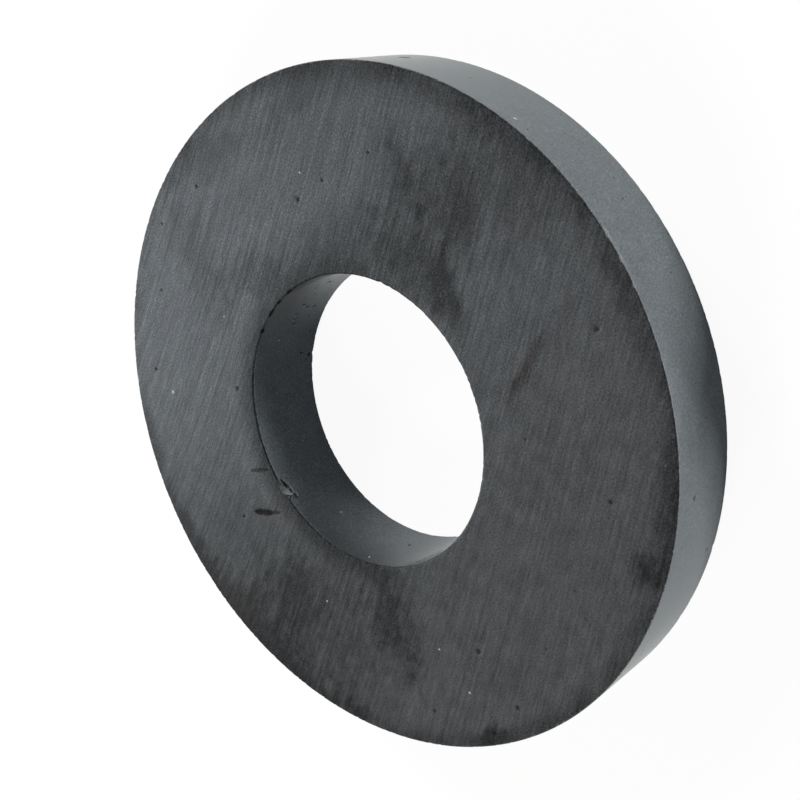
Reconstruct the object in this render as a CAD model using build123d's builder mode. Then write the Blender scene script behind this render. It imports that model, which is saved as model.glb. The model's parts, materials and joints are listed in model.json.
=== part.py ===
from build123d import *
import os
from math import cos, hypot, radians, sin

# Oil pan magnet: one flat ring of pressed and sintered ferrite, lying on its back face
# Millimetres, origin at the centre of the back face, +Z along the ring's axis

# Driving dimensions of the ring
outer_diameter = 45.0
bore_diameter = 19.5
thickness = 6.0

# Width of the broken arris where the ground faces meet the rim and the bore
edge_break = 0.1

# Angles round the ring are degrees from +X, anticlockwise seen from the front
# The one deep chip, broken down the bore's wall from its front edge
deep_chip_length = 1.6
deep_chip_across_face = 0.2
deep_chip_along_wall = 0.75
deep_chip_angle = 102.0

# Long shallow flakes off the front edge of the bore
flake_length = 1.0
flake_across_face = 0.12
flake_along_wall = 0.16
flake_angles = (6.3, 14.3, 20.9)

# Short nicks, left at each edge by handling and by parts that the magnet snapped on to
nick_length = 0.45
nick_across_face = 0.14
nick_along_wall = 0.19
bore_front_nick_angles = (30.9, 318.7)
bore_back_nick_angles = (50.3, 171.2)
rim_front_nick_angles = (271.9, 275.7, 279.4)
rim_back_nick_angles = (215.1, 229.1)

outer_radius = outer_diameter / 2
bore_radius = bore_diameter / 2

os.makedirs("parts", exist_ok=True)


def chip(edge_radius, edge_height, air_side, air_end, angle, length, across_face, along_wall):
    """Place and radius of the ball that scoops one chip out of an edge.

    air_side is +1 where the air lies outside the edge and -1 where it lies inside.
    air_end is +1 on the front face and -1 on the back face.
    The scoop is as long on the edge, and reaches as far from it, as the three sizes say.
    """
    half = length / 2
    off_wall = (half**2 - across_face**2) / (2 * across_face)
    off_face = (half**2 - along_wall**2) / (2 * along_wall)
    reach = edge_radius + air_side * off_wall
    height = edge_height + air_end * off_face
    centre = (reach * cos(radians(angle)), reach * sin(radians(angle)), height)
    return centre, hypot(off_wall, off_face, half)


# Each edge of the ring: its radius, its height, and the sides on which the air lies
bore_front = (bore_radius, thickness, -1, 1)
bore_back = (bore_radius, 0, -1, -1)
rim_front = (outer_radius, thickness, 1, 1)
rim_back = (outer_radius, 0, 1, -1)

deep_chip = (deep_chip_length, deep_chip_across_face, deep_chip_along_wall)
flake = (flake_length, flake_across_face, flake_along_wall)
nick = (nick_length, nick_across_face, nick_along_wall)

# Which form of chip each edge carries, and where
chipped_edges = [
    (bore_front, deep_chip, (deep_chip_angle,)),
    (bore_front, flake, flake_angles),
    (bore_front, nick, bore_front_nick_angles),
    (bore_back, nick, bore_back_nick_angles),
    (rim_front, nick, rim_front_nick_angles),
    (rim_back, nick, rim_back_nick_angles),
]

with BuildPart() as ring_magnet:
    # The pressed blank with its bore
    with BuildSketch():
        Circle(outer_radius)
        Circle(bore_radius, mode=Mode.SUBTRACT)
    extrude(amount=thickness)

    # Broken arris on all four edges
    chamfer(ring_magnet.edges().filter_by(GeomType.CIRCLE), edge_break)

    # Brittle chips, each the round scoop that a conchoidal break leaves
    for edge, form, angles in chipped_edges:
        for angle in angles:
            centre, ball_radius = chip(*edge, angle, *form)
            with Locations(centre):
                Sphere(ball_radius, mode=Mode.SUBTRACT)

ring_magnet.part.label = "ring_magnet"
export_step(ring_magnet.part, "parts/ring_magnet.step")
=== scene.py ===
import json
from math import cos, hypot, pi, radians, sin

import bmesh
import bpy
import numpy as np
from mathutils import Matrix, Vector


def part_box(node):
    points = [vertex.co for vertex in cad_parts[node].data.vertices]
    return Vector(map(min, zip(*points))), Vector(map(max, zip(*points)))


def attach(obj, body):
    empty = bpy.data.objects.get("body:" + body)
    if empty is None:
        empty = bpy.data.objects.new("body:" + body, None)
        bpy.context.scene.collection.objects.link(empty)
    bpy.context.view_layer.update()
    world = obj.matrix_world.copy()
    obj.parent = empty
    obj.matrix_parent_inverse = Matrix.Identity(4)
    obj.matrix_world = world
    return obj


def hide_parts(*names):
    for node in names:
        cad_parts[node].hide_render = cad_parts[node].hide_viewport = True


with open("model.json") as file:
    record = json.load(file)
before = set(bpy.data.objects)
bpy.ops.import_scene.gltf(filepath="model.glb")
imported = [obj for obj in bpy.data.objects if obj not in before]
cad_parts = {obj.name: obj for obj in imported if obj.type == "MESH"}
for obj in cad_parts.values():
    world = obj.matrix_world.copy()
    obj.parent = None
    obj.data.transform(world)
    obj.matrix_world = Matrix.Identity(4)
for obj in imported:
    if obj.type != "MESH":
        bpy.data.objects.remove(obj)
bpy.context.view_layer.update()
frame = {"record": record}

# The ring's sizes come from the frame, in metres
MM = 0.001
NODE = "ring_magnet"
_, ring_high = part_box(NODE)
mounts = {mount["name"]: mount for mount in frame["record"]["mounts"]}
outer_radius = ring_high.x
thickness = ring_high.z
bore_radius = mounts["bore"]["dims"]["r_mm"] * MM
edge_break = 0.1 * MM

# Each edge: its radius, its height, and the sides on which the air lies
EDGES = {
    "bore_front": (bore_radius, thickness, -1, 1),
    "bore_back": (bore_radius, 0.0, -1, -1),
    "rim_front": (outer_radius, thickness, 1, 1),
    "rim_back": (outer_radius, 0.0, 1, -1),
}

# Chips by their length, reach across the face and reach along the wall, in mm
DEEP_CHIP = (1.6, 0.2, 0.64)
FLAKE = (1.0, 0.12, 0.16)
NICK = (0.45, 0.14, 0.19)
RIM_NICK = (0.45, 0.08, 0.16)

# Where the chips are, as (edge, degrees from +X, chip, mark that its material reads); the dark mark paints
# shadow into a chip's scoop
CHIPS = [
    ("bore_front", 102.0, DEEP_CHIP, "broken"),
    ("bore_front", 6.3, FLAKE, "shade_and_dirt"),
    ("bore_front", 14.3, FLAKE, "shade_and_dirt"),
    ("bore_front", 20.9, FLAKE, "shade_and_dirt"),
    ("bore_front", 30.9, NICK, "shade_and_dirt"),
    ("bore_front", 318.7, NICK, "shade_and_dirt"),
    ("bore_back", 50.3, NICK, "shade_and_dirt"),
    ("bore_back", 171.2, NICK, "shade_and_dirt"),
    ("rim_front", 271.9, RIM_NICK, "bright"),
    ("rim_front", 275.7, RIM_NICK, "bright"),
    ("rim_front", 279.4, RIM_NICK, "bright"),
    ("rim_back", 215.1, NICK, "shade_and_dirt"),
    ("rim_back", 229.1, NICK, "shade_and_dirt"),
]

# Crumbled arris: how many tiny chips each edge has, drawn at random, sizes in mm
CRUMBS = {"bore_front": 110, "bore_back": 80, "rim_front": 260, "rim_back": 180}
CRUMB_LENGTH = (0.26, 0.6)
CRUMB_REACH = (0.06, 0.12)

# Pits in the front face as (x, y, radius, depth) in mm
FACE_PITS = [
    (19.12, 5.28, 0.12, 0.06),
    (18.51, 10.16, 0.10, 0.05),
    (14.44, -2.96, 0.18, 0.06),
    (14.57, -5.48, 0.12, 0.05),
    (14.38, -9.73, 0.12, 0.05),
    (14.65, 13.13, 0.10, 0.05),
    (9.94, 17.40, 0.12, 0.05),
    (-2.65, 14.72, 0.13, 0.06),
    (-0.52, -19.41, 0.20, 0.06),
    (-16.20, -1.80, 0.24, 0.05),
    (-20.25, -2.93, 0.20, 0.05),
    (-19.49, 4.22, 0.20, 0.03),
    (-21.62, -0.16, 0.20, 0.03),
    (-16.94, -7.11, 0.12, 0.04),
    (-13.95, -10.94, 0.13, 0.04),
    (-9.60, -15.79, 0.20, 0.05),
    (-4.70, -12.00, 0.10, 0.04),
    (5.80, 9.72, 0.18, 0.05),
]

# Pits in the walls as (radius of the wall in metres, degrees, height, radius, depth), the last three in mm
WALL_PITS = [
    (bore_radius, 48.7, 1.28, 0.15, 0.10),
    (bore_radius, 50.3, 0.50, 0.17, 0.12),
    (bore_radius, 22.0, 2.74, 0.17, 0.07),
    (bore_radius, 24.0, 2.23, 0.17, 0.07),
    (bore_radius, 24.5, 1.47, 0.16, 0.07),
    (bore_radius, 26.8, 3.10, 0.13, 0.05),
    (bore_radius, 29.6, 3.10, 0.13, 0.05),
    (bore_radius, 32.2, 2.85, 0.17, 0.05),
    (bore_radius, 39.2, 0.74, 0.14, 0.06),
    (bore_radius, 6.9, 2.15, 0.15, 0.07),
    (bore_radius, 37.8, 3.97, 0.14, 0.06),
    (bore_radius, 155.7, 2.25, 0.13, 0.05),
    (outer_radius, 229.3, 1.05, 0.14, 0.08),
    (outer_radius, 327.0, 2.40, 0.36, 0.08),
    (outer_radius, 240.5, 4.00, 0.15, 0.05),
]

# Gouges in the front face as (x and y of each end, half width, depth, strength of their painted shade and
# dirt), sizes in mm
GOUGES = [
    (-2.65, 13.35, -3.20, 11.60, 0.26, 0.06, 0.85),
    (-3.05, 12.10, -3.40, 10.80, 0.16, 0.04, 0.55),
    (0.16, 11.95, -0.30, 10.10, 0.16, 0.04, 0.50),
]

# Crack under the deep chip, with painted shadow along it: degrees and height of each end on the bore's wall,
# half width, depth, sizes in mm
CRACK = (97.3, 5.70, 106.5, 5.22, 0.06, 0.05)

# Degrees at which the pale break in front of the crack ends at the bore's edge
PALE_END = 103.0

# Bright grains in the surface as (x, y, z, radius) in mm
SPECKS = [
    (7.85, 16.65, 6.0, 0.15),
    (-10.33, 9.93, 6.0, 0.08),
    (-18.72, 0.46, 6.0, 0.10),
    (-15.49, 1.45, 6.0, 0.08),
    (15.76, -3.99, 6.0, 0.08),
    (10.6, 8.0, 6.0, 0.08),
    (11.61, -19.27, 4.97, 0.16),
    (1.52, -22.45, 1.60, 0.10),
    (-8.41, 4.93, 5.27, 0.08),
    (-5.05, 8.34, 2.92, 0.08),
]

# Stains on the front face as (x, y, half length, half width, degrees, strength), sizes in mm
STAINS = [
    (-11.5, 18.2, 8.0, 2.6, 33.0, 0.70),
    (-3.0, 21.6, 5.5, 1.2, 8.0, 0.70),
    (4.5, 21.4, 4.0, 1.0, -12.0, 0.40),
    (-9.6, 13.4, 3.4, 2.5, -35.0, 0.55),
    (-11.5, 13.8, 6.5, 4.8, 40.0, 0.35),
    (-8.8, 9.0, 3.0, 2.6, 45.0, 0.30),
    (-13.2, 4.5, 3.6, 1.8, -8.0, 0.70),
    (-10.4, 3.6, 1.8, 1.6, 50.0, 0.25),
    (-14.5, 9.3, 4.2, 2.2, -20.0, 0.22),
    (-2.8, 15.5, 5.2, 4.0, 60.0, 0.26),
    (-21.9, 0.2, 1.2, 0.8, 90.0, 0.90),
    (-18.4, 11.6, 1.6, 0.8, 58.0, 0.50),
    (-14.2, -16.1, 1.1, 0.8, -40.0, 0.95),
    (-11.6, -18.7, 5.5, 0.9, -32.0, 0.50),
    (5.2, -10.9, 2.3, 1.2, -5.0, 0.80),
    (7.8, -9.4, 3.0, 1.8, 35.0, 0.45),
    (8.3, -13.4, 2.1, 1.9, 0.0, 0.50),
    (9.4, -11.2, 4.6, 3.4, -50.0, 0.35),
    (12.0, -11.4, 2.6, 0.9, -5.0, 0.55),
    (9.0, -17.4, 4.2, 2.8, 40.0, 0.35),
    (0.0, -21.8, 6.0, 0.8, 0.0, 0.40),
    (10.8, -19.2, 5.0, 1.2, 29.0, 0.22),
    (14.6, -16.4, 6.0, 1.2, 42.0, 0.26),
    (18.7, -11.2, 4.0, 1.2, 59.0, 0.24),
    (9.6, -5.6, 3.5, 1.5, 60.0, 0.30),
    (20.4, -7.0, 4.5, 1.2, 110.0, 0.35),
    (20.6, 4.0, 4.5, 1.4, 78.0, 0.42),
    (11.3, -2.0, 8.0, 1.6, 88.0, 0.35),
    (11.9, 3.6, 3.2, 1.3, 75.0, 0.32),
    (15.0, 8.2, 5.0, 1.7, -5.0, 0.32),
]

# Rusty stains on the front face, in the same columns
RUST = [
    (-7.6, 19.8, 2.8, 1.0, 22.0, 0.50),
    (-1.2, -13.9, 2.2, 0.40, -57.0, 1.00),
    (-1.1, -14.1, 1.6, 0.30, -57.0, 0.80),
    (-3.0, 12.2, 1.2, 0.3, 74.0, 0.60),
    (8.6, -14.6, 2.2, 1.4, -20.0, 0.30),
]

# Grinding lines: degrees of the way across them at the middle, and how they bend along x and y, per mm
GRIND_ACROSS = 40.0
GRIND_BEND = (0.0038, -0.0040)


# Form of the ring

# Distances of the rings of vertices from each edge, in mm
FRONT_STEPS = (0.0, 0.05, 0.12, 0.22, 0.36)
BACK_STEPS = (0.0, 0.07, 0.18, 0.4)
EDGE_STEPS = {
    "bore_front": FRONT_STEPS,
    "bore_back": BACK_STEPS,
    "rim_front": FRONT_STEPS,
    "rim_back": BACK_STEPS,
}

# Vertices in each ring at an edge
EDGE_COUNTS = {"bore_front": 1024, "bore_back": 1024, "rim_front": 2048, "rim_back": 1024}

# Coarser rings between two edges: vertices in each ring, and how many rings
FRONT_MIDDLE, RIM_MIDDLE, BACK_MIDDLE, BORE_MIDDLE = (256, 24), (512, 8), (128, 6), (256, 9)

# Degrees that the worn arris has turned from the face, or from the wall, at its rings of vertices
WORN_TURNS = (30.0, 60.0)


def section():
    """Rings of the closed section as (radius, height, count), over the front face, rim, back and bore."""
    rings = []
    low, high = edge_break, thickness - edge_break
    inner, outer = bore_radius + edge_break, outer_radius - edge_break

    def stretch(start, end, start_edge, end_edge, middle):
        """Rings from start to end: fine at both ends, with evenly spaced coarser ones between them."""
        start, end = np.array(start), np.array(end)
        length = np.linalg.norm(end - start)
        way = (end - start) / length
        start_steps, end_steps = EDGE_STEPS[start_edge], EDGE_STEPS[end_edge]
        start_count, end_count = EDGE_COUNTS[start_edge], EDGE_COUNTS[end_edge]
        first, last = start_steps[-1] * MM, length - end_steps[-1] * MM
        middle_count, middle_rings = middle
        between = [middle_count] * middle_rings
        while between[0] * 2 < start_count:
            between.insert(0, between[0] * 2)
        while between[-1] * 2 < end_count:
            between.append(between[-1] * 2)
        rings.extend((*(start + way * step * MM), start_count) for step in start_steps)
        for i, count in enumerate(between):
            share = (i + 1) / (len(between) + 1)
            rings.append((*(start + way * (first + share * (last - first))), count))
        rings.extend((*(end - way * step * MM), end_count) for step in reversed(end_steps))

    def arris(edge, from_face):
        """Rings over the worn arris, from the face to the wall or back."""
        edge_radius, edge_height, air_side, air_end = EDGES[edge]
        for degrees in WORN_TURNS:
            swing = radians(degrees if from_face else 90 - degrees)
            radius = edge_radius - air_side * edge_break * (1 - sin(swing))
            height = edge_height - air_end * edge_break * (1 - cos(swing))
            rings.append((radius, height, EDGE_COUNTS[edge]))

    stretch((inner, thickness), (outer, thickness), "bore_front", "rim_front", FRONT_MIDDLE)
    arris("rim_front", True)
    stretch((outer_radius, high), (outer_radius, low), "rim_front", "rim_back", RIM_MIDDLE)
    arris("rim_back", False)
    stretch((outer, 0.0), (inner, 0.0), "rim_back", "bore_back", BACK_MIDDLE)
    arris("bore_back", True)
    stretch((bore_radius, low), (bore_radius, high), "bore_back", "bore_front", BORE_MIDDLE)
    arris("bore_front", False)
    return rings


def band(first, first_count, second, second_count):
    """Faces between two rings of vertices, of which one may have twice as many as the other."""
    faces = []
    if first_count == second_count:
        for i in range(first_count):
            j = (i + 1) % first_count
            faces.append((first + i, second + i, second + j, first + j))
    elif second_count == 2 * first_count:
        for i in range(first_count):
            j = (i + 1) % first_count
            ahead = (2 * i + 2) % second_count
            faces.append((first + i, second + 2 * i, second + 2 * i + 1))
            faces.append((first + i, second + 2 * i + 1, first + j))
            faces.append((first + j, second + 2 * i + 1, second + ahead))
    else:
        for i in range(second_count):
            j = (i + 1) % second_count
            ahead = (2 * i + 2) % first_count
            faces.append((second + i, first + 2 * i + 1, first + 2 * i))
            faces.append((second + i, second + j, first + 2 * i + 1))
            faces.append((second + j, first + ahead, first + 2 * i + 1))
    return faces


def revolved_mesh(rings):
    """Mesh of the whole ring, before wear."""
    places = []
    starts = []
    faces = []
    for radius, height, count in rings:
        starts.append(len(places))
        for i in range(count):
            angle = 2 * pi * i / count
            places.append((radius * cos(angle), radius * sin(angle), height))
    for i in range(len(rings)):
        j = (i + 1) % len(rings)
        faces += band(starts[i], rings[i][2], starts[j], rings[j][2])
    mesh = bpy.data.meshes.new("ferrite_ring")
    mesh.from_pydata(places, [], faces)
    return mesh


def refine(mesh, spots, cuts):
    """Cuts the edges of each face within reach of a spot, which is given as (place, reach)."""
    shape = bmesh.new()
    shape.from_mesh(mesh)
    shape.faces.ensure_lookup_table()
    centres = np.array([face.calc_center_median() for face in shape.faces])
    corners = np.array([face.verts[0].co for face in shape.faces])
    sizes = np.linalg.norm(corners - centres, axis=1)
    chosen = set()
    for place, reach in spots:
        near = np.linalg.norm(centres - place, axis=1) < reach + sizes
        for index in np.flatnonzero(near):
            chosen.update(shape.faces[index].edges)
    in_order = sorted(chosen, key=lambda edge: edge.index)
    bmesh.ops.subdivide_edges(shape, edges=in_order, cuts=cuts, use_grid_fill=True)
    shape.to_mesh(mesh)
    shape.free()


# Wear of the ring

def turn(degrees, radius, height):
    """Point at this angle, radius and height."""
    return np.array((radius * cos(radians(degrees)), radius * sin(radians(degrees)), height))


def chip_ball(edge, degrees, length, across_face, along_wall):
    """Centre and radius of the ball that scoops a chip with these sizes out of an edge."""
    edge_radius, edge_height, air_side, air_end = EDGES[edge]
    half = length / 2
    off_wall = (half**2 - across_face**2) / (2 * across_face)
    off_face = (half**2 - along_wall**2) / (2 * along_wall)
    centre = turn(degrees, edge_radius + air_side * off_wall, edge_height + air_end * off_face)
    return centre, hypot(off_wall, off_face, half)


# Ripples: how many waves each has, the range of their pitches, and the gain that takes it to about -1 and 1
RIPPLE_WAVES, RIPPLE_PITCHES, RIPPLE_GAIN = 7, (0.6, 1.6), 1.8


def ripple(points, wavelength, seed):
    """Smooth noise, about -1 to 1, at these points: a few waves in directions drawn at random."""
    draw = np.random.default_rng(seed)
    direction = draw.normal(size=(RIPPLE_WAVES, 3))
    direction /= np.linalg.norm(direction, axis=1)[:, None]
    pitch = draw.uniform(*RIPPLE_PITCHES, RIPPLE_WAVES) / wavelength
    phase = draw.uniform(0, 2 * pi, RIPPLE_WAVES)
    turns = points @ (direction * pitch[:, None]).T * 2 * pi + phase
    return RIPPLE_GAIN * np.sin(turns).mean(axis=1)


# Roll-off of the faces at each edge: its width and depth, and how far down the wall it is felt, in mm
ROLL_WIDTH = {"rim_front": 1.3, "rim_back": 1.3, "bore_front": 0.6, "bore_back": 0.6}
ROLL_DEPTH = {"rim_front": 0.045, "rim_back": 0.045, "bore_front": 0.012, "bore_back": 0.012}
ROLL_DOWN_WALL = 0.5


def roll_off(places):
    """The faces fall away a little towards their edges, as lapped faces do."""
    reach = np.hypot(places[:, 0], places[:, 1])
    for edge, (edge_radius, edge_height, air_side, air_end) in EDGES.items():
        width = ROLL_WIDTH[edge] * MM
        inside = np.clip(1 - air_side * (edge_radius - reach) / width, 0, 1)
        down = np.clip(1 - np.abs(places[:, 2] - edge_height) / (ROLL_DOWN_WALL * MM), 0, 1)
        places[:, 2] -= air_end * ROLL_DEPTH[edge] * MM * inside**2 * down


# Depth below the old surface at which a chip is fully marked, in mm
MARK_DEPTH = 0.02


def scoop(places, marks, strength, centre, ball_radius, roughness, wavelength, seed):
    """Pushes the vertices inside a ball out to its rough surface, and marks them."""
    offset = places - centre
    far = np.linalg.norm(offset, axis=1)
    inside = np.flatnonzero(far < ball_radius * (1 + roughness))
    if not len(inside):
        return
    rough = ball_radius * (1 + roughness * ripple(places[inside], wavelength, seed))
    pushed = np.maximum(rough, far[inside])
    places[inside] = centre + offset[inside] / far[inside][:, None] * pushed[:, None]
    depth = np.clip((rough - far[inside]) / (MARK_DEPTH * MM), 0, 1)
    marks[inside] = np.maximum(marks[inside], strength * depth)


# Outlines of pits and gouges: how ragged, and the wavelength of that as a share of the radius or half width
PIT_RAGGED, PIT_WAVE_SHARE = 0.35, 2.2
GOUGE_RAGGED, GOUGE_WAVE_SHARE = 0.2, 2.5

# Most painted shade in a pit, and the gain of a gouge's painted shade and dirt on its way to its full
# strength
PIT_SHADE, GOUGE_SHADE_GAIN = 0.7, 1.8

# Square of the share of a gouge's width that is left at its tips
GOUGE_TIP_SHARE = 0.05


def pit(places, marks, centre, normal, radius, depth, seed):
    """Sinks a pit with a ragged outline into the surface at this place, and paints shade into it."""
    offset = places - centre
    height = offset @ normal
    flat = offset - height[:, None] * normal
    far = np.linalg.norm(flat, axis=1)
    near = np.flatnonzero((far < 2 * radius) & (np.abs(height) < 2 * radius))
    ragged = radius * (1 + PIT_RAGGED * ripple(places[near], PIT_WAVE_SHARE * radius, seed))
    share = np.clip(1 - (far[near] / ragged) ** 2, 0, 1)
    places[near] -= normal * (depth * np.sqrt(share))[:, None]
    marks[near] = np.maximum(marks[near], np.clip(share, 0, PIT_SHADE))


def gouge(places, marks, strength, start, end, normal, half_width, depth, seed):
    """Sinks a ragged furrow into the surface from start to end, and paints shade and dirt into it."""
    way = end - start
    along = np.clip((places - start) @ way / (way @ way), 0, 1)
    far = np.linalg.norm(places - start - along[:, None] * way, axis=1)
    near = np.flatnonzero(far < 2 * half_width)
    taper = np.sqrt(np.clip(1 - (2 * along[near] - 1) ** 4, GOUGE_TIP_SHARE, 1))
    waves = ripple(places[near], GOUGE_WAVE_SHARE * half_width, seed)
    ragged = half_width * taper * (1 + GOUGE_RAGGED * waves)
    share = np.clip(1 - (far[near] / ragged) ** 2, 0, 1)
    places[near] -= normal * (depth * share)[:, None]
    marks[near] = np.maximum(marks[near], strength * np.clip(share * GOUGE_SHADE_GAIN, 0, 1))


def crack(places, marks, first, first_height, last, last_height, half_width, depth):
    """Sinks a crack into the bore's wall, paints its shadow dark along it, and keeps the pale break to a
    triangle in front of it.
    """
    reach = np.hypot(places[:, 0], places[:, 1])
    turns = np.degrees(np.arctan2(places[:, 1], places[:, 0])) % 360
    spots = np.column_stack((bore_radius * np.radians(turns - first), places[:, 2] - first_height * MM))
    way = np.array((bore_radius * radians(last - first), (last_height - first_height) * MM))
    length = np.linalg.norm(way)
    along = np.clip(spots @ way / length**2, 0, 1)
    far = np.linalg.norm(spots - along[:, None] * way, axis=1)
    on_wall = reach < bore_radius + 2 * DEEP_CHIP[1] * MM
    share = np.clip(1 - (far / (half_width * MM)) ** 2, 0, 1) * on_wall
    outward = places * (1, 1, 0) / reach[:, None]
    places += outward * (share * depth * MM)[:, None]
    corner = np.array((bore_radius * radians(PALE_END - first), thickness - first_height * MM))
    closing = way - corner
    behind = spots @ (-way[1], way[0]) < 0
    beyond = (spots - corner) @ (-closing[1], closing[0]) > 0
    marks["broken"][on_wall & (far < length) & (behind | beyond)] = 0
    # painted shadow along the crack
    marks["shade_and_dirt"][:] = np.maximum(marks["shade_and_dirt"], np.clip(2 * share, 0, 1))


def face_point(x, y):
    """Point on the front face, from a place in mm."""
    return np.array((x * MM, y * MM, thickness))


# Strength of the marks of chips and crumbs
MARK_STRENGTH = {"broken": 1.0, "shade_and_dirt": 1.0, "bright": 0.3}
CRUMB_PALE = 0.12

# Roughness of chips and crumbs as a share of the ball's radius, and its wavelength in mm
CHIP_ROUGH_SHARE, CHIP_WAVE = 0.008, 0.25
CRUMB_ROUGH_SHARE, CRUMB_WAVE = 0.05, 0.1

# Painted shade along each edge, as a dark line on the worn arris: its strength, its width in mm and the gain
# that gives it a full core
ARRIS_SHADE = {"bore_front": 0.35, "bore_back": 0.3, "rim_front": 0.2, "rim_back": 0.3}
ARRIS_SHADE_WIDTH, ARRIS_SHADE_GAIN = 0.09, 1.4

# Patches in that painted shade: their length in mm, level and contrast
ARRIS_PATCH, ARRIS_LEVEL, ARRIS_CONTRAST = 2.5, 0.7, 0.6

# Pale scuffs on the rim, just behind its front edge: degrees of their two ends, strength
SCUFFS = [(270.8, 281.6, 0.2), (274.6, 277.0, 0.35), (278.2, 281.0, 0.55)]

# Height and half width of the scuffs, in mm
SCUFF_HEIGHT, SCUFF_HALF_WIDTH = 5.78, 0.2

# Gain of a bright grain's mark, which gives it a full core
SPECK_GAIN = 1.6

# Seeds of the random draws: a pit's or gouge's number in its list is added to its seed
CRUMB_SEED, ARRIS_SEED = 7, 11
FACE_PIT_SEED, WALL_PIT_SEED, GOUGE_SEED = 100, 200, 300


def arris_shade(places):
    """Painted shade along each edge, in a line that comes and goes."""
    reach = np.hypot(places[:, 0], places[:, 1])
    total = np.zeros(len(places))
    waves = ripple(places, ARRIS_PATCH * MM, ARRIS_SEED)
    patchy = np.clip(ARRIS_LEVEL + ARRIS_CONTRAST * waves, 0, 1)
    for edge, strength in ARRIS_SHADE.items():
        edge_radius, edge_height, *_ = EDGES[edge]
        far = np.hypot(reach - edge_radius, places[:, 2] - edge_height)
        on_line = np.clip(ARRIS_SHADE_GAIN - far / (ARRIS_SHADE_WIDTH * MM), 0, 1)
        total = np.maximum(total, strength * patchy * on_line)
    return total


def scuffs(places):
    """Pale scuffs, as soft lines on the rim."""
    turns = np.degrees(np.arctan2(places[:, 1], places[:, 0])) % 360
    on_rim = np.hypot(places[:, 0], places[:, 1]) > outer_radius - edge_break
    far = np.abs(places[:, 2] - SCUFF_HEIGHT * MM)
    on_line = np.clip(1 - far / (SCUFF_HALF_WIDTH * MM), 0, 1) * on_rim
    total = np.zeros(len(places))
    for first, last, strength in SCUFFS:
        along = np.clip(1 - np.abs(2 * turns - first - last) / (last - first), 0, 1)
        total = np.maximum(total, strength * np.sqrt(along) * on_line)
    return total


def wear(places):
    """Wears the ring in place, and gives the marks that its material reads."""
    # The dark mark starts as painted shade along the edges; chips, pits, gouges and the crack add painted
    # shade to it, and gouges some dirt
    broken, shade_and_dirt, bright = np.zeros(len(places)), arris_shade(places), scuffs(places)
    marks = {"broken": broken, "shade_and_dirt": shade_and_dirt, "bright": bright}
    up = np.array((0.0, 0.0, 1.0))
    draw = np.random.default_rng(CRUMB_SEED)
    for edge, count in CRUMBS.items():
        for _ in range(count):
            degrees = draw.uniform(0, 360)
            length = draw.uniform(*CRUMB_LENGTH) * MM
            across, along = draw.uniform(*CRUMB_REACH, 2) * MM
            ball = chip_ball(edge, degrees, length, across, along)
            seed = draw.integers(1 << 30)
            scoop(places, broken, CRUMB_PALE, *ball, CRUMB_ROUGH_SHARE, CRUMB_WAVE * MM, seed)
    for number, (edge, degrees, chip, name) in enumerate(CHIPS):
        ball = chip_ball(edge, degrees, *(size * MM for size in chip))
        scoop(places, marks[name], MARK_STRENGTH[name], *ball, CHIP_ROUGH_SHARE, CHIP_WAVE * MM, number)
    shade_and_dirt *= 1 - np.maximum(broken, bright)
    roll_off(places)
    for number, (x, y, radius, depth) in enumerate(FACE_PITS):
        pit(places, shade_and_dirt, face_point(x, y), up, radius * MM, depth * MM, FACE_PIT_SEED + number)
    for number, (wall, degrees, height, radius, depth) in enumerate(WALL_PITS):
        centre = turn(degrees, wall, height * MM)
        outward = turn(degrees, 1 if wall == outer_radius else -1, 0)
        pit(places, shade_and_dirt, centre, outward, radius * MM, depth * MM, WALL_PIT_SEED + number)
    for number, (x0, y0, x1, y1, half_width, depth, gouge_shade_and_dirt) in enumerate(GOUGES):
        ends = face_point(x0, y0), face_point(x1, y1)
        gouge(places, shade_and_dirt, gouge_shade_and_dirt, *ends, up, half_width * MM, depth * MM, GOUGE_SEED + number)
    crack(places, marks, *CRACK)
    for *spot, radius in SPECKS:
        far = np.linalg.norm(places - np.array(spot) * MM, axis=1)
        bright[:] = np.maximum(bright, np.clip(SPECK_GAIN - SPECK_GAIN * far / (radius * MM), 0, 1))
    return marks


# How far small faces reach, as shares of a hollow's radius and a chip's length
HOLLOW_REACH_SHARE, CHIP_REACH_SHARE = 1.5, 0.75

# Places along each gouge that get small faces
GOUGE_PLACES = 9

# Cuts of the edges of faces at bright grains, at hollows and at edges with a deep chip
GRAIN_CUTS, HOLLOW_CUTS, CHIP_CUTS = 6, 5, 2


def detail_spots():
    """Places that need small faces, as (place, reach): bright grains, hollows, and edges with a deep chip."""
    grains = [(np.array(spot) * MM, radius * MM) for *spot, radius in SPECKS]
    hollows = []
    for x, y, radius, _ in FACE_PITS:
        hollows.append((face_point(x, y), HOLLOW_REACH_SHARE * radius * MM))
    for wall, degrees, height, radius, _ in WALL_PITS:
        hollows.append((turn(degrees, wall, height * MM), HOLLOW_REACH_SHARE * radius * MM))
    for x0, y0, x1, y1, half_width, *_ in GOUGES:
        for share in np.linspace(0, 1, GOUGE_PLACES):
            place = face_point(x0 + share * (x1 - x0), y0 + share * (y1 - y0))
            hollows.append((place, HOLLOW_REACH_SHARE * half_width * MM))
    edges = []
    for edge, degrees, chip, _ in CHIPS:
        if chip is DEEP_CHIP:
            edge_radius, edge_height, *_ = EDGES[edge]
            edges.append((turn(degrees, edge_radius, edge_height), CHIP_REACH_SHARE * chip[0] * MM))
    return grains, hollows, edges


# Sheet on which the ring's surface is laid out flat, in mm: its width, the middles of the discs that the
# faces make, and the corners of the strips that the halves of the rim and the bore make
SHEET = 96.0
FRONT_CENTRE, BACK_CENTRE = (24.0, 24.0), (72.0, 24.0)
RIM_STRIPS, BORE_STRIP = ((2.0, 51.0), (2.0, 60.0)), (2.0, 69.0)

# Height within which a vertex counts as on a face, in mm
ON_FACE = 1e-4

# Height within which a vertex has the ground finish of a face, in mm
GROUND_DEPTH = 0.05


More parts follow.
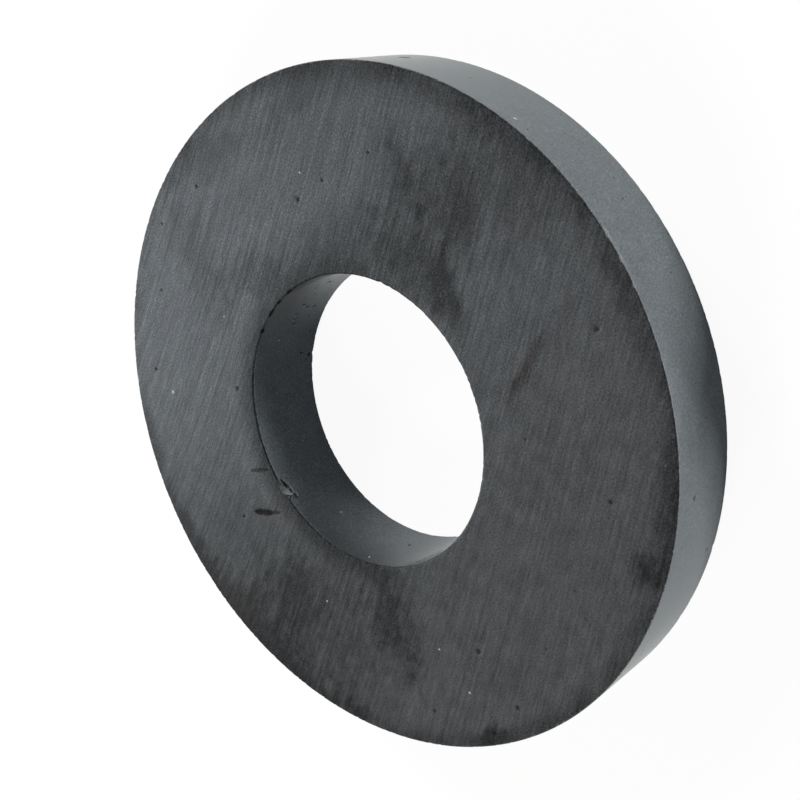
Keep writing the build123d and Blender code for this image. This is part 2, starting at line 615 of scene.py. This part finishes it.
def lay_out(mesh, places):
    """Flat map of the surface: two discs for the faces and three strips for the walls."""
    layer = mesh.uv_layers.new(name="OFBake")
    flat = np.zeros((len(mesh.loops), 2))
    for face in mesh.polygons:
        loops = list(face.loop_indices)
        spots = places[list(face.vertices)] / MM
        middle = spots.mean(axis=0)
        if spots[:, 2].min() > thickness / MM - ON_FACE:
            flat[loops] = spots[:, :2] + FRONT_CENTRE
        elif spots[:, 2].max() < ON_FACE:
            flat[loops] = spots[:, :2] * (-1, 1) + BACK_CENTRE
        else:
            around = np.arctan2(middle[1], middle[0])
            turns = np.arctan2(spots[:, 1], spots[:, 0]) - around
            turns = (turns + pi) % (2 * pi) - pi + around % (2 * pi)
            if np.hypot(*middle[:2]) < (bore_radius + outer_radius) / 2 / MM:
                left, base = BORE_STRIP
                along = turns * bore_radius / MM
            else:
                half = int(around % (2 * pi) > pi)
                left, base = RIM_STRIPS[half]
                along = (turns - pi * half) * outer_radius / MM
            flat[loops] = np.column_stack((left + along, base + spots[:, 2]))
    layer.data.foreach_set("uv", (flat / SHEET).ravel())


def add(name, data):
    """New object in the scene."""
    piece = bpy.data.objects.new(name, data)
    bpy.context.scene.collection.objects.link(piece)
    return piece


def make_ring():
    """The ring as one worn piece, with the marks that its material reads."""
    mesh = revolved_mesh(section())
    grains, hollows, edges = detail_spots()
    refine(mesh, grains, GRAIN_CUTS)
    refine(mesh, hollows, HOLLOW_CUTS)
    refine(mesh, edges, CHIP_CUTS)
    places = np.empty(len(mesh.vertices) * 3)
    mesh.vertices.foreach_get("co", places)
    places = places.reshape(-1, 3)
    lay_out(mesh, places)
    depth = np.minimum(places[:, 2], thickness - places[:, 2])
    ground = (depth < GROUND_DEPTH * MM).astype(float)
    marks = {"ground": ground, **wear(places)}
    mesh.vertices.foreach_set("co", places.ravel())
    for name, values in marks.items():
        attribute = mesh.attributes.new(name, "FLOAT", "POINT")
        attribute.data.foreach_set("value", values.astype(np.float32))
    mesh.shade_smooth()
    mesh.update()
    return add("ferrite_ring", mesh)


# Materials

def cleared(owner):
    """Node tree of a new material or world, with nothing in it."""
    owner.use_nodes = True
    owner.node_tree.nodes.clear()
    return owner.node_tree


def make(tree, kind, inputs=None, **settings):
    """New node with these settings, its inputs set to values or linked to sockets."""
    node = tree.nodes.new(kind)
    for name, value in settings.items():
        setattr(node, name, value)
    for name, value in (inputs or {}).items():
        if isinstance(value, bpy.types.NodeSocket):
            tree.links.new(value, node.inputs[name])
        else:
            node.inputs[name].default_value = value
    return node


def maths(tree, operation, first, second=0.0, third=0.0):
    """Result of an operation on numbers."""
    return make(tree, "ShaderNodeMath", {0: first, 1: second, 2: third}, operation=operation).outputs[0]


def vectors(tree, operation, first, second=(0, 0, 0)):
    """Node of an operation on vectors."""
    return make(tree, "ShaderNodeVectorMath", {0: first, 1: second}, operation=operation)


def ramp(tree, value, low, high, to_low=0.0, to_high=1.0):
    """Smooth step of a value from one range to another."""
    sockets = {"Value": value, "From Min": low, "From Max": high, "To Min": to_low, "To Max": to_high}
    return make(tree, "ShaderNodeMapRange", sockets, interpolation_type="SMOOTHSTEP").outputs[0]


def noise(tree, place, scale, detail, output="Fac", roughness=0.5):
    """Noise of about 0.5 at a place in mm."""
    sockets = {"Vector": place, "Scale": scale, "Detail": detail, "Roughness": roughness}
    return make(tree, "ShaderNodeTexNoise", sockets).outputs[output]


def blend(tree, share, first, second):
    """Colour between two colours."""
    sockets = {0: share, 6: first, 7: second}
    return make(tree, "ShaderNodeMix", sockets, data_type="RGBA").outputs[2]


def between(tree, share, first, second):
    """Number between two numbers."""
    return make(tree, "ShaderNodeMix", {0: share, 2: first, 3: second}).outputs[0]


def mark(tree, name):
    """Mark that the ring's mesh carries under this name."""
    return make(tree, "ShaderNodeAttribute", attribute_name=name).outputs["Fac"]


# Colours and gloss of the ferrite
GROUND_COLOUR = (0.051, 0.0515, 0.053, 1)
STAIN_COLOUR = (0.012, 0.0115, 0.011, 1)
RUST_COLOUR = (0.020, 0.014, 0.011, 1)
WALL_COLOUR = (0.022, 0.0225, 0.0235, 1)
BROKEN_COLOUR = (0.27, 0.285, 0.29, 1)
# Near-black colour of the painted shade in pores, pits, chips, the crack and along the edges, and of the dirt
# in gouges
SHADE_AND_DIRT_COLOUR = (0.008, 0.007, 0.0065, 1)
GRAIN_COLOUR = (0.55, 0.57, 0.57, 1)
GLOSS_TINT = (0.81, 0.925, 1.0, 1)
RIM_GLOSS, BORE_GLOSS, FACE_GLOSS = 0.63, 0.5, 0.5
FERRITE_IOR = 2.7

# Shares of the gloss that stains and the painted shade and dirt take away, and the power of the fine pattern
# that it follows
STAIN_DULLS, SHADE_AND_DIRT_DULLS, GLOSS_POWER = 0.4, 0.85, 2.0

# Roughness of the faces and walls with its rise along their patterns, and roughness of marred places
FACE_ROUGH, FACE_ROUGH_RISE = 0.34, 0.16
WALL_ROUGH, WALL_ROUGH_RISE = 0.10, 0.06
MARRED_ROUGH = 0.75

# Shares of lines, grain and pores in the relief, its strength, and its height in mm
LINE_RELIEF, GRAIN_RELIEF, PORE_RELIEF = 0.5, 0.4, 2.0
BUMP_STRENGTH, BUMP_HEIGHT = 0.6, 0.009

# Streaks along the grinding lines as (scale per mm, scale along the lines as a share of that, detail)
SHORT_LINES, LONG_LINES, BROAD_LINES = (6.0, 0.14, 3.0), (4.5, 0.02, 2.0), (1.8, 0.10, 4.0)

# Noises, with scales per mm
GRAIN = {"scale": 8.0, "detail": 4.0, "roughness": 0.75}
MOTTLE = {"scale": 0.9, "detail": 4.0}
CLOUD = {"scale": 1.1, "detail": 6.0, "roughness": 0.65}
STAIN_PATCHES = {"scale": 2.4, "detail": 4.0}
DARKENING_PATCHES = {"scale": 0.45, "detail": 3.0}

# Contrasts of these patterns in the colour and gloss, and the gain of the stains
LINE_CONTRAST, FACE_GRAIN_CONTRAST, WALL_GRAIN_CONTRAST = 0.75, 2.5, 1.4
FACE_MOTTLE_CONTRAST, WALL_MOTTLE_CONTRAST, GLOSS_MOTTLE_CONTRAST = 1.0, 0.8, 0.4
STAIN_PATCH_CONTRAST, STAIN_GAIN = 1.0, 1.2

# Outlines of stains: noise that sways them as (scale per mm, detail, mm), shares of cloud and lines in their
# raggedness, and shares of their half sizes at which they fade out and are full
STAIN_SWAY = (0.35, 2.0, 1.2)
CLOUD_RAGGED, LINE_RAGGED = 1.6, 1.6
STAIN_FADE = (1.6, 0.3)

# Darker bands along the edges of the faces: radii in mm from where they start to where they are full
OUTER_DARKENING, INNER_DARKENING = (20.9, 22.3), (12.0, 9.7)

# Strength of the darkening, as a range of the patches or of the facing and the range of strengths that it
# gives
OUTER_DARKENING_STRENGTH, INNER_DARKENING_STRENGTH = (0.36, 0.62, 0.2, 0.6), (-0.7, 0.2, 0.1, 0.85)

# Way from the axis to the side where the band along the bore's edge is darkest
DARKER_SIDE = (0.5, 0.87, 0.0)

# Pores and dust as (cells per mm, share of cells that have one, size as a share of a cell)
FACE_PORES, WALL_PORES, BORE_PORES = (1.5, 0.16, 0.10), (1.5, 0.10, 0.12), (2.6, 0.45, 0.24)
DUST = (1.25, 0.22, 0.07)
FACE_PORE_STRENGTH, DUST_STRENGTH = 0.7, 0.28

# Share of a pore's size within which it is full
PORE_CORE_SHARE = 0.4

# Porous part of the bore's wall: its middle, and the distances from there at which it ends and is full, in mm
POROUS_PLACE, POROUS_REACH = (9.2, 2.9, 1.7), (4.4, 1.8)


def about(tree, value, contrast):
    """Factor that varies about 1 with a noise of about 0.5."""
    return maths(tree, "MAXIMUM", maths(tree, "MULTIPLY_ADD", value, contrast, 1 - contrast / 2), 0.0)


def tinted(tree, colour, factor):
    """Colour made lighter or darker by a factor."""
    return make(tree, "ShaderNodeVectorMath", {0: colour, "Scale": factor}, operation="SCALE").outputs[0]


def shifted(tree, place, scale, detail, amount):
    """Place moved about by noise."""
    colour = noise(tree, place, scale, detail, "Color")
    sway = vectors(tree, "SUBTRACT", colour, (0.5, 0.5, 0.5)).outputs[0]
    return vectors(tree, "ADD", place, tinted(tree, sway, amount)).outputs[0]


def grinding_lines(tree, x, y):
    """Distances across and along the grinding lines, in mm."""
    slope_x, slope_y = cos(radians(GRIND_ACROSS)), sin(radians(GRIND_ACROSS))
    bend_x, bend_y = GRIND_BEND
    across_x = maths(tree, "MULTIPLY", x, maths(tree, "MULTIPLY_ADD", x, bend_x, slope_x))
    across = maths(tree, "MULTIPLY_ADD", y, maths(tree, "MULTIPLY_ADD", y, bend_y, slope_y), across_x)
    along = maths(tree, "MULTIPLY_ADD", y, slope_x, maths(tree, "MULTIPLY", x, -slope_y))
    return across, along


def streaks(tree, lines, scale, stretch, detail):
    """Noise drawn out along the grinding lines."""
    across, along = lines
    along = maths(tree, "MULTIPLY", along, stretch)
    drawn = make(tree, "ShaderNodeCombineXYZ", {0: across, 1: along, 2: 0.0}).outputs[0]
    return noise(tree, drawn, scale, detail)


def edge_darkening(tree, place, flat, radius):
    """Patchy dark band along the outer edge of a face, and a thin one along most of the bore."""
    patchy = ramp(tree, noise(tree, place, **DARKENING_PATCHES), *OUTER_DARKENING_STRENGTH)
    outer = maths(tree, "MULTIPLY", ramp(tree, radius, *OUTER_DARKENING), patchy)
    way = vectors(tree, "NORMALIZE", flat).outputs[0]
    facing = vectors(tree, "DOT_PRODUCT", way, DARKER_SIDE).outputs["Value"]
    strength = ramp(tree, facing, *INNER_DARKENING_STRENGTH)
    inner = maths(tree, "MULTIPLY", ramp(tree, radius, *INNER_DARKENING), strength)
    return maths(tree, "MAXIMUM", outer, inner)


def spotted(tree, place, ragged, spots, total):
    """Adds stains to a mask at a place in mm, with outlines that ragged noise draws in and out."""
    for x, y, half_length, half_width, degrees, strength in spots:
        sockets = {
            "Vector": place,
            "Location": (x, y, thickness / MM),
            "Rotation": (0, 0, radians(degrees)),
            "Scale": (half_length, half_width, half_width),
        }
        local = make(tree, "ShaderNodeMapping", sockets, vector_type="TEXTURE").outputs[0]
        far = maths(tree, "ADD", vectors(tree, "LENGTH", local).outputs["Value"], ragged)
        spot = ramp(tree, far, *STAIN_FADE, 0.0, strength)
        both = maths(tree, "MULTIPLY", total, spot)
        total = maths(tree, "SUBTRACT", maths(tree, "ADD", total, spot), both)
    return total


def pores(tree, place, scale, share, size):
    """Small round pores in some cells of a random pattern: 1 in a pore and 0 elsewhere."""
    cells = make(tree, "ShaderNodeTexVoronoi", {"Vector": place, "Scale": scale}).outputs
    chance = make(tree, "ShaderNodeSeparateXYZ", {0: cells["Color"]}).outputs[0]
    dot = ramp(tree, cells["Distance"], size, PORE_CORE_SHARE * size)
    return maths(tree, "MULTIPLY", dot, maths(tree, "LESS_THAN", chance, share))


def ferrite():
    """Sintered ferrite: ground and stained on the faces, as pressed on the walls, pale where broken."""
    material = bpy.data.materials.new("ferrite")
    tree = cleared(material)
    metres = make(tree, "ShaderNodeTexCoord").outputs["Object"]
    place = tinted(tree, metres, 1 / MM)
    parts = make(tree, "ShaderNodeSeparateXYZ", {0: place}).outputs
    flat = make(tree, "ShaderNodeCombineXYZ", {0: parts[0], 1: parts[1], 2: 0.0}).outputs[0]
    radius = vectors(tree, "LENGTH", flat).outputs["Value"]
    ground, broken, shade_and_dirt, bright = (mark(tree, name) for name in ("ground", "broken", "shade_and_dirt", "bright"))

    # Grinding lines and grain
    lines = grinding_lines(tree, parts[0], parts[1])
    short_lines = streaks(tree, lines, *SHORT_LINES)
    long_lines = streaks(tree, lines, *LONG_LINES)
    broad_lines = streaks(tree, lines, *BROAD_LINES)
    grain = noise(tree, place, **GRAIN)
    mottle = noise(tree, place, **MOTTLE)
    ground_fine = about(tree, grain, FACE_GRAIN_CONTRAST)
    ground_fine = maths(tree, "MULTIPLY", about(tree, short_lines, LINE_CONTRAST), ground_fine)
    ground_fine = maths(tree, "MULTIPLY", ground_fine, about(tree, long_lines, LINE_CONTRAST))
    fine = between(tree, ground, about(tree, grain, WALL_GRAIN_CONTRAST), ground_fine)

    # Colour of the ground faces, with ragged stains that the grinding lines show through
    swayed = shifted(tree, place, *STAIN_SWAY)
    ragged = maths(tree, "MULTIPLY_ADD", broad_lines, LINE_RAGGED, -(CLOUD_RAGGED + LINE_RAGGED) / 2)
    ragged = maths(tree, "MULTIPLY_ADD", noise(tree, place, **CLOUD), CLOUD_RAGGED, ragged)
    # the stain mask starts from the darker bands along the edges
    stain = spotted(tree, swayed, ragged, STAINS, edge_darkening(tree, place, flat, radius))
    patches = about(tree, noise(tree, place, **STAIN_PATCHES), STAIN_PATCH_CONTRAST)
    stain = maths(tree, "MULTIPLY", stain, patches)
    stain = maths(tree, "MINIMUM", maths(tree, "MULTIPLY", stain, STAIN_GAIN), 1.0)
    rust = spotted(tree, swayed, ragged, RUST, 0.0)
    ground_colour = blend(tree, stain, GROUND_COLOUR, STAIN_COLOUR)
    ground_colour = blend(tree, rust, ground_colour, RUST_COLOUR)
    ground_colour = tinted(tree, ground_colour, about(tree, mottle, FACE_MOTTLE_CONTRAST))

    # Colour of the walls
    wall_colour = tinted(tree, WALL_COLOUR[:3], about(tree, mottle, WALL_MOTTLE_CONTRAST))

    # Pores, which are sunk and painted dark with shade, and dust
    face_pores = maths(tree, "MULTIPLY", pores(tree, place, *FACE_PORES), FACE_PORE_STRENGTH)
    porous = ramp(tree, vectors(tree, "DISTANCE", place, POROUS_PLACE).outputs["Value"], *POROUS_REACH)
    wall_pores = maths(tree, "MULTIPLY", pores(tree, place, *BORE_PORES), porous)
    wall_pores = maths(tree, "MAXIMUM", wall_pores, pores(tree, place, *WALL_PORES))
    hollow = between(tree, ground, wall_pores, face_pores)
    # painted shade of the pores and of the dark mark, with the gouges' dirt
    painted_shade_and_dirt = maths(tree, "MAXIMUM", shade_and_dirt, hollow)
    dust = maths(tree, "MULTIPLY", pores(tree, place, *DUST), DUST_STRENGTH)

    # Colour all over
    colour = tinted(tree, blend(tree, ground, wall_colour, ground_colour), fine)
    colour = blend(tree, broken, colour, BROKEN_COLOUR)
    # painted shade in pores, pits, chips, the crack and along the edges, with the dirt of the gouges
    colour = blend(tree, painted_shade_and_dirt, colour, SHADE_AND_DIRT_COLOUR)
    colour = blend(tree, maths(tree, "MAXIMUM", bright, dust), colour, GRAIN_COLOUR)

    # Roughness
    ground_rough = maths(tree, "MULTIPLY_ADD", short_lines, FACE_ROUGH_RISE, FACE_ROUGH)
    wall_rough = maths(tree, "MULTIPLY_ADD", mottle, WALL_ROUGH_RISE, WALL_ROUGH)
    marred = maths(tree, "MAXIMUM", maths(tree, "MAXIMUM", broken, bright), painted_shade_and_dirt)
    rough = between(tree, marred, between(tree, ground, wall_rough, ground_rough), MARRED_ROUGH)

    # Gloss
    face_gloss = maths(tree, "MULTIPLY_ADD", stain, -STAIN_DULLS * FACE_GLOSS, FACE_GLOSS)
    wall_gloss = ramp(tree, radius, bore_radius / MM, outer_radius / MM, BORE_GLOSS, RIM_GLOSS)
    wall_gloss = maths(tree, "MULTIPLY", about(tree, mottle, GLOSS_MOTTLE_CONTRAST), wall_gloss)
    dull = maths(tree, "MULTIPLY_ADD", painted_shade_and_dirt, -SHADE_AND_DIRT_DULLS, 1.0)
    lively = maths(tree, "MULTIPLY", maths(tree, "POWER", fine, GLOSS_POWER), dull)
    gloss = maths(tree, "MULTIPLY", lively, between(tree, ground, wall_gloss, face_gloss))

    # Relief
    line_relief = maths(tree, "MULTIPLY", maths(tree, "ADD", short_lines, long_lines), ground)
    relief = maths(tree, "MULTIPLY", grain, GRAIN_RELIEF)
    relief = maths(tree, "MULTIPLY_ADD", line_relief, LINE_RELIEF, relief)
    relief = maths(tree, "SUBTRACT", relief, maths(tree, "MULTIPLY", hollow, PORE_RELIEF))
    sockets = {"Height": relief, "Strength": BUMP_STRENGTH, "Distance": BUMP_HEIGHT * MM}
    bump = make(tree, "ShaderNodeBump", sockets)
    shader = make(
        tree,
        "ShaderNodeBsdfPrincipled",
        {
            "Base Color": colour,
            "Roughness": rough,
            "IOR": FERRITE_IOR,
            "Specular IOR Level": gloss,
            "Specular Tint": GLOSS_TINT,
            "Normal": bump.outputs[0],
        },
    )
    make(tree, "ShaderNodeOutputMaterial", {"Surface": shader.outputs[0]})
    return material


# Stage

# Shares of the white background that the camera sees in the floor and beyond it, and that gloss shows
FLOOR_IN_SIGHT, WORLD_IN_SIGHT, WHITE_IN_GLOSS = 0.94, 1.0, 0.1
WHITE = (1, 1, 1, 1)

# Colour of the floor's paper, and half its width in metres
PAPER_COLOUR = (0.94, 0.93, 0.905, 1)
FLOOR_HALF = 3.0


def white_share(tree, in_sight):
    """How much of the white background shows: this share of it to the camera, and a little in gloss."""
    seen = make(tree, "ShaderNodeLightPath").outputs
    gloss = maths(tree, "MAXIMUM", seen["Is Glossy Ray"], seen["Is Transmission Ray"])
    in_gloss = maths(tree, "MULTIPLY", gloss, WHITE_IN_GLOSS)
    return maths(tree, "MAXIMUM", maths(tree, "MULTIPLY", seen["Is Camera Ray"], in_sight), in_gloss)


def make_floor():
    """Wide sheet of pale paper under the ring, which the camera sees as nearly white."""
    mesh = bpy.data.meshes.new("floor")
    corners = [(x * FLOOR_HALF, y * FLOOR_HALF, 0) for x, y in ((-1, -1), (1, -1), (1, 1), (-1, 1))]
    mesh.from_pydata(corners, [], [(0, 1, 2, 3)])
    floor = add("floor", mesh)
    material = bpy.data.materials.new("floor_paper")
    tree = cleared(material)
    paper = make(tree, "ShaderNodeBsdfDiffuse", {"Color": PAPER_COLOUR}).outputs[0]
    white = make(tree, "ShaderNodeEmission", {"Color": WHITE, "Strength": 1.0}).outputs[0]
    share = white_share(tree, FLOOR_IN_SIGHT)
    both = make(tree, "ShaderNodeMixShader", {0: share, 1: paper, 2: white}).outputs[0]
    make(tree, "ShaderNodeOutputMaterial", {"Surface": both})
    mesh.materials.append(material)


# Strength of the room's light near the horizon and overhead
HORIZON_LIGHT, ZENITH_LIGHT = 0.14, 0.06


def make_world():
    """Soft room light, brighter near the horizon, with a white background to the camera."""
    world = bpy.data.worlds.new("room")
    bpy.context.scene.world = world
    tree = cleared(world)
    way = make(tree, "ShaderNodeTexCoord").outputs["Generated"]
    height = make(tree, "ShaderNodeSeparateXYZ", {0: way}).outputs[2]
    level = ramp(tree, height, 0.0, 1.0, HORIZON_LIGHT, ZENITH_LIGHT)
    strength = maths(tree, "MAXIMUM", level, white_share(tree, WORLD_IN_SIGHT))
    background = make(tree, "ShaderNodeBackground", {"Color": WHITE, "Strength": strength}).outputs[0]
    make(tree, "ShaderNodeOutputWorld", {"Surface": background})


# Lamps as (name, azimuth from +X, elevation, distance, width, height, watts, whether gloss shows it),
# in degrees and metres
LAMPS = [
    ("upper", 8.0, 28.0, 0.40, 0.13, 0.13, 2.00, False),
    ("lower", 138.0, 33.0, 0.40, 0.13, 0.13, 1.65, False),
    ("sheen", 73.0, 31.0, 0.42, 0.18, 0.18, 0.10, True),
]


def make_lamps():
    """Lamps that face the ring."""
    for name, azimuth, elevation, distance, width, height, watts, in_gloss in LAMPS:
        light = bpy.data.lights.new(name, "AREA")
        light.shape = "RECTANGLE"
        light.size, light.size_y = width, height
        light.energy = watts
        lamp = add(name, light)
        lamp.location = turn(azimuth, distance * cos(radians(elevation)), distance * sin(radians(elevation)))
        lamp.rotation_mode = "QUATERNION"
        lamp.rotation_quaternion = (-lamp.location).to_track_quat("-Z", "Y")
        lamp.visible_glossy = in_gloss


# Camera as fitted to the outlines in the photograph: place, lens and sensor in mm, turns in degrees
CAMERA_PLACE = (-1.256, -54.662, 59.607)
CAMERA_PITCH, CAMERA_ROLL = 47.02, -113.35
CAMERA_LENS, CAMERA_SENSOR, CAMERA_SHIFT = 53.54, 36.0, (-0.0203, 0.0266)

# Nearest and farthest distance that the camera sees, in metres
CAMERA_RANGE = (0.001, 10.0)


def make_camera():
    """Camera with the photograph's framing."""
    data = bpy.data.cameras.new("camera")
    data.sensor_width = CAMERA_SENSOR
    data.lens = CAMERA_LENS
    data.shift_x, data.shift_y = CAMERA_SHIFT
    data.clip_start, data.clip_end = CAMERA_RANGE
    camera = add("camera", data)
    pitch = Matrix.Rotation(radians(90 - CAMERA_PITCH), 4, "X")
    roll = Matrix.Rotation(radians(CAMERA_ROLL), 4, "Z")
    camera.matrix_world = Matrix.Translation(Vector(CAMERA_PLACE) * MM) @ pitch @ roll
    bpy.context.scene.camera = camera


ring = make_ring()
ring.data.materials.append(ferrite())
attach(ring, "root")
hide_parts(NODE)
make_floor()
make_world()
make_lamps()
make_camera()
bpy.context.scene.view_settings.view_transform = "Standard"
